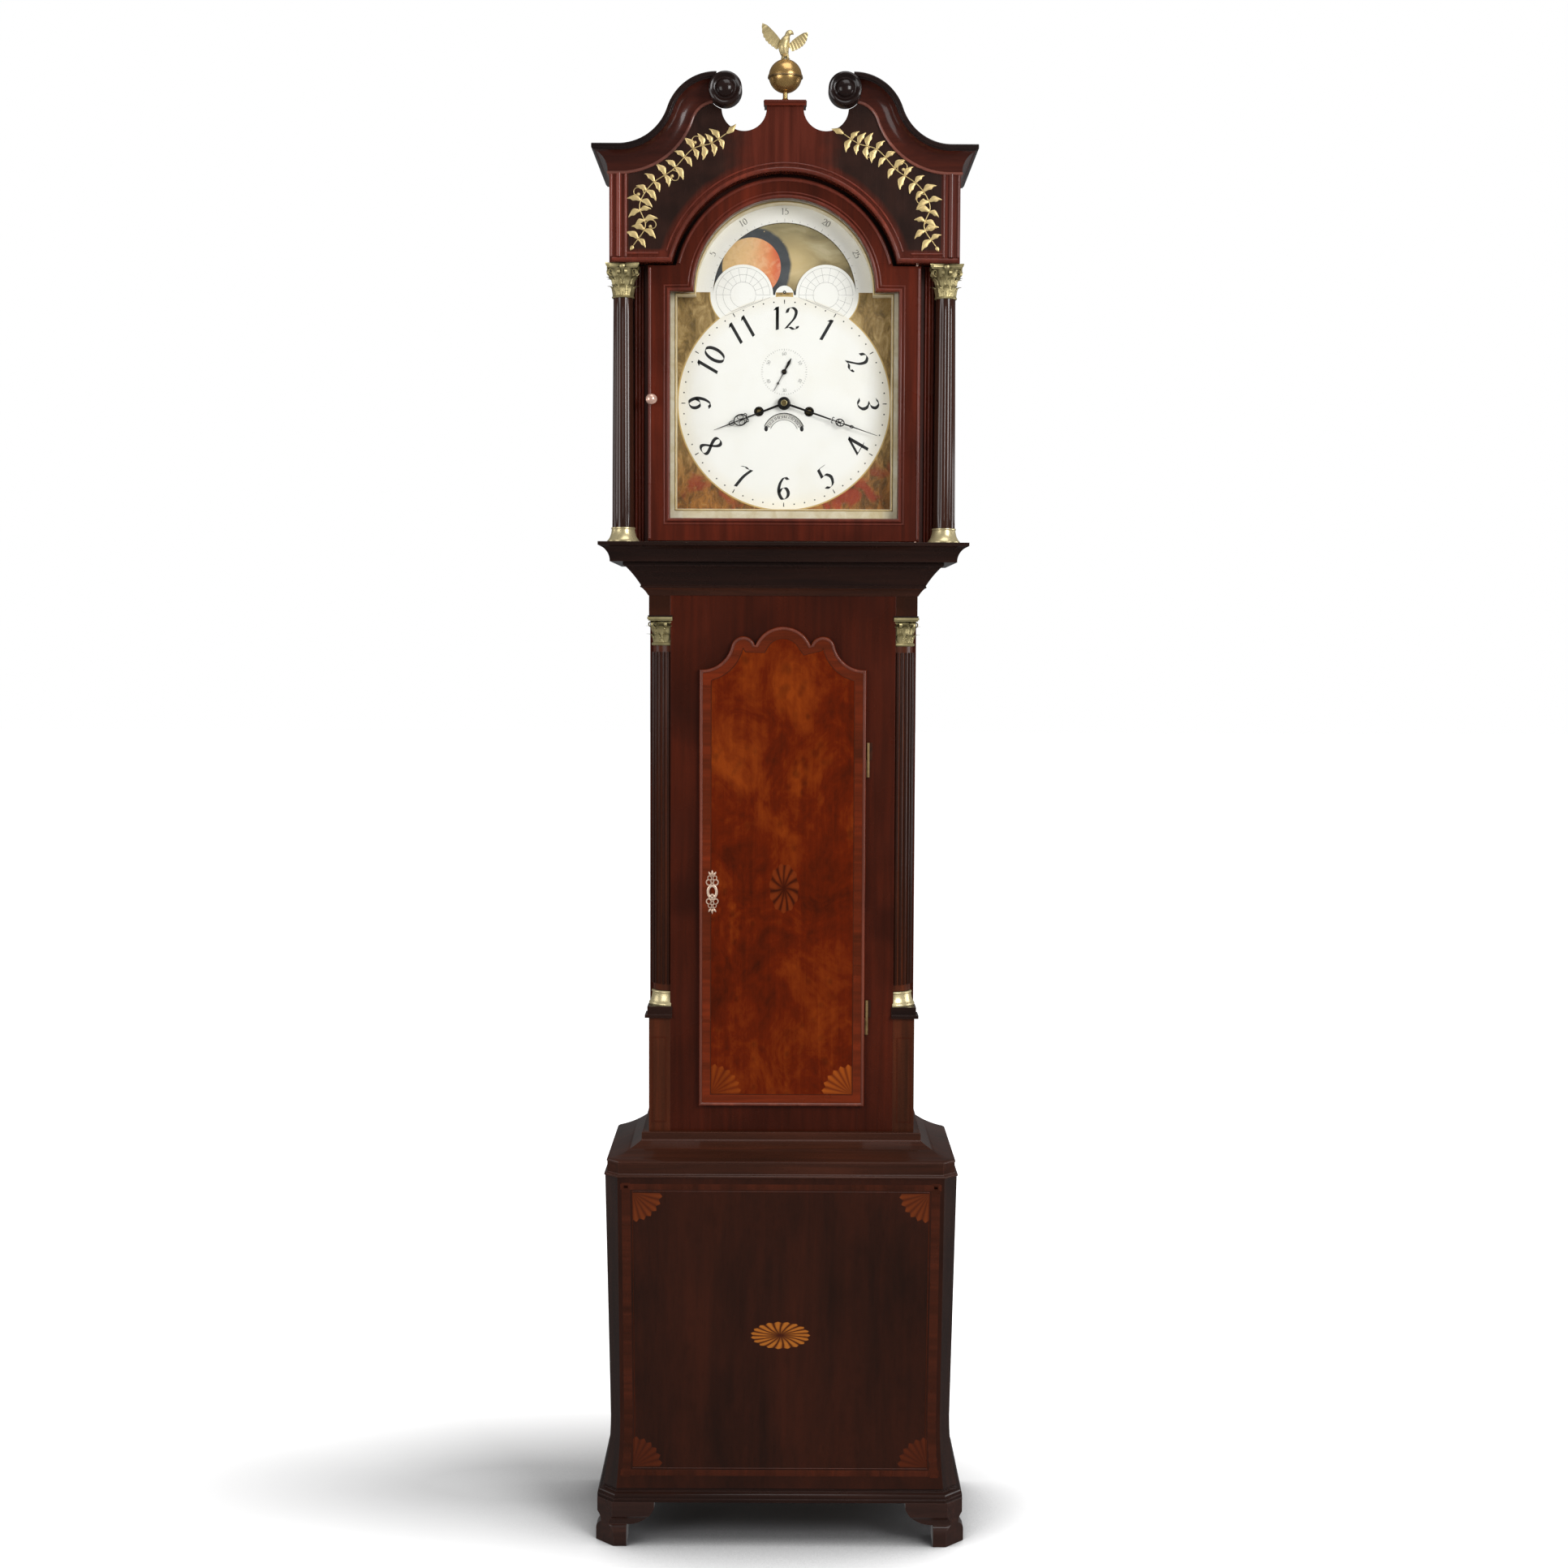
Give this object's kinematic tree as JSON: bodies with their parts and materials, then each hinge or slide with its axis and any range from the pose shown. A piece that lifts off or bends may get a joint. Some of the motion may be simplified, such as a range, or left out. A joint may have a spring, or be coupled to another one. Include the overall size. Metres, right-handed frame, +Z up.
{
  "type": "longcase clock",
  "caption": "Tall mahogany longcase clock with arched moon dial, swan-neck hood that slides off, glazed hood door, shaped trunk door, hanging weights and pendulum.",
  "frame": {"origin": "on the floor, under the middle of the bounding box", "axes": "+Z up, front faces -Y, +X to the right seen from the front"},
  "size_m": [0.564, 0.2776, 2.2676],
  "materials": {
    "mahogany": "french polish",
    "dark_mahogany": "french polish",
    "flame_mahogany": "french polish",
    "pine": "bare, aged",
    "mask_paint": "painted",
    "cast_brass": "lacquered",
    "gilt": "gilded",
    "copper_alloy": "worn",
    "plate_brass": "polished",
    "steel": "bright",
    "blued_steel": "blued",
    "bell_metal": "bright",
    "dial_paint": "enamel",
    "sky_paint": "enamel",
    "clear_glass": "clear",
    "gut": "natural"
  },
  "bodies": {
    "case": {"backboard": "pine", "base_front_panel": "dark_mahogany", "base_side_panels": "dark_mahogany", "base_canted_corners": "dark_mahogany", "base_floor_board": "pine", "base_skirt_moulding": "dark_mahogany", "bracket_feet": "dark_mahogany", "waist_moulding": "dark_mahogany", "trunk_front_frame": "mahogany", "trunk_side_panels": "mahogany", "trunk_quarter_columns": "mahogany", "trunk_column_mounts": "cast_brass", "throat_moulding": "dark_mahogany", "seat_board": "pine", "trunk_hinge_frame_leaves": "cast_brass", "movement_frame": "plate_brass", "dial_plate": "dial_paint", "back_cock": "plate_brass", "bell": "bell_metal", "bell_stand": "steel", "going_line": "gut", "strike_line": "gut"},
    "trunk_door": {"trunk_door_panel": "flame_mahogany", "trunk_hinge_door_leaves": "cast_brass", "trunk_escutcheon": "cast_brass", "trunk_lock": "steel"},
    "hood": {"hood_sill_frame": "mahogany", "hood_side_panels": "mahogany", "hood_roof_board": "pine", "dial_mask": "mask_paint", "pediment_board": "mahogany", "cornice_returns": "dark_mahogany", "swan_necks": "dark_mahogany", "finial_cap": "mahogany", "finial_ball": "cast_brass", "finial_eagle": "gilt", "hood_columns": "mahogany", "hood_column_mounts": "cast_brass"},
    "hood_door": {"hood_door_frame": "mahogany", "hood_door_glass": "clear_glass", "hood_door_fittings": "copper_alloy"},
    "pendulum": {"pendulum_rod": "steel", "pendulum_bob": "plate_brass"},
    "pallets": {"pallet_anchor": "steel"},
    "centre_arbor": {"centre_wheel": "plate_brass", "minute_hand": "blued_steel"},
    "hour_sleeve": {"hour_wheel": "plate_brass", "hour_hand": "blued_steel"},
    "minute_stud_wheel": {"minute_wheel": "plate_brass"},
    "third_arbor": {"third_wheel": "plate_brass"},
    "escape_arbor": {"escape_wheel": "plate_brass", "seconds_hand": "blued_steel"},
    "going_great_wheel": {"great_wheel": "plate_brass"},
    "going_barrel": {"going_drum": "plate_brass"},
    "strike_barrel": {"strike_drum": "plate_brass"},
    "date_disc": {"date_ring": "dial_paint"},
    "moon_plate": {"moon_disc": "sky_paint"},
    "right_weight": {"going_weight": "plate_brass"},
    "left_weight": {"strike_weight": "plate_brass"},
    "hammer": {"bell_hammer": "steel"}
  },
  "joints": [
    {"name": "hood_slide", "type": "slide", "parent": "case", "child": "hood", "axis": [0, -1, 0], "range_m": [0, 0.26]},
    {"name": "hood_door_hinge", "type": "hinge", "parent": "hood", "child": "hood_door", "pos_m": [0.196, -0.09225, 1.72], "axis": [0, 0, 1], "range_deg": [0, 110]},
    {"name": "trunk_door_hinge", "type": "hinge", "parent": "case", "child": "trunk_door", "pos_m": [0.1293, -0.05735, 0.99], "axis": [0, 0, 1], "range_deg": [0, 115]},
    {"name": "pendulum_swing", "type": "hinge", "parent": "case", "child": "pendulum", "pos_m": [0, 0.07875, 1.795], "axis": [0, 1, 0], "range_deg": [-3, 3]},
    {"name": "pallet_rock", "type": "hinge", "parent": "case", "child": "pallets", "pos_m": [0, 0.07875, 1.795], "axis": [0, 1, 0], "range_deg": [-3, 3]},
    {"name": "minute_turn", "type": "hinge", "parent": "case", "child": "centre_arbor", "pos_m": [0, 0, 1.724], "axis": [0, 1, 0], "continuous": true},
    {"name": "hour_turn", "type": "hinge", "parent": "case", "child": "hour_sleeve", "pos_m": [0, 0, 1.724], "axis": [0, 1, 0], "continuous": true},
    {"name": "minute_wheel_turn", "type": "hinge", "parent": "case", "child": "minute_stud_wheel", "pos_m": [-0.02291, 0, 1.74691], "axis": [0, 1, 0], "continuous": true},
    {"name": "third_turn", "type": "hinge", "parent": "case", "child": "third_arbor", "pos_m": [0.02034, 0, 1.75125], "axis": [0, 1, 0], "continuous": true},
    {"name": "seconds_turn", "type": "hinge", "parent": "case", "child": "escape_arbor", "pos_m": [0, 0, 1.771], "axis": [0, 1, 0], "continuous": true},
    {"name": "great_wheel_turn", "type": "hinge", "parent": "case", "child": "going_great_wheel", "pos_m": [0.0377, 0, 1.712], "axis": [0, 1, 0], "continuous": true},
    {"name": "date_turn", "type": "hinge", "parent": "case", "child": "date_disc", "pos_m": [0, 0, 1.678], "axis": [0, 1, 0], "continuous": true},
    {"name": "moon_turn", "type": "hinge", "parent": "case", "child": "moon_plate", "pos_m": [0, 0, 1.885], "axis": [0, 1, 0], "continuous": true},
    {"name": "going_weight_drop", "type": "slide", "parent": "case", "child": "right_weight", "axis": [0, 0, 1], "range_m": [-0.7, 0.44], "deforming": ["going_line"]},
    {"name": "strike_weight_drop", "type": "slide", "parent": "case", "child": "left_weight", "axis": [0, 0, 1], "range_m": [-0.7, 0.44], "deforming": ["strike_line"]},
    {"name": "going_drum_turn", "type": "hinge", "parent": "case", "child": "going_barrel", "pos_m": [0.0377, 0, 1.712], "axis": [0, 1, 0], "continuous": true},
    {"name": "strike_drum_turn", "type": "hinge", "parent": "case", "child": "strike_barrel", "pos_m": [-0.0377, 0, 1.712], "axis": [0, 1, 0], "continuous": true},
    {"name": "hammer_lift", "type": "hinge", "parent": "case", "child": "hammer", "pos_m": [-0.045, 0, 1.79], "axis": [0, 1, 0], "range_deg": [-18, 2], "stiffness_Nm_per_rad": 0.8}
  ],
  "couplings": [
    {"joint": "pallet_rock", "follows": "pendulum_swing", "ratio": 1},
    {"joint": "hour_turn", "follows": "minute_turn", "ratio": 0.083333},
    {"joint": "minute_wheel_turn", "follows": "minute_turn", "ratio": -1},
    {"joint": "third_turn", "follows": "minute_turn", "ratio": -7.5},
    {"joint": "seconds_turn", "follows": "minute_turn", "ratio": 60},
    {"joint": "great_wheel_turn", "follows": "minute_turn", "ratio": -0.083333},
    {"joint": "date_turn", "follows": "minute_turn", "ratio": 0.0013441},
    {"joint": "moon_turn", "follows": "minute_turn", "ratio": 0.00070621},
    {"joint": "going_drum_turn", "follows": "going_weight_drop", "rad_per_m": -87.336},
    {"joint": "strike_drum_turn", "follows": "strike_weight_drop", "rad_per_m": 87.336}
  ]
}
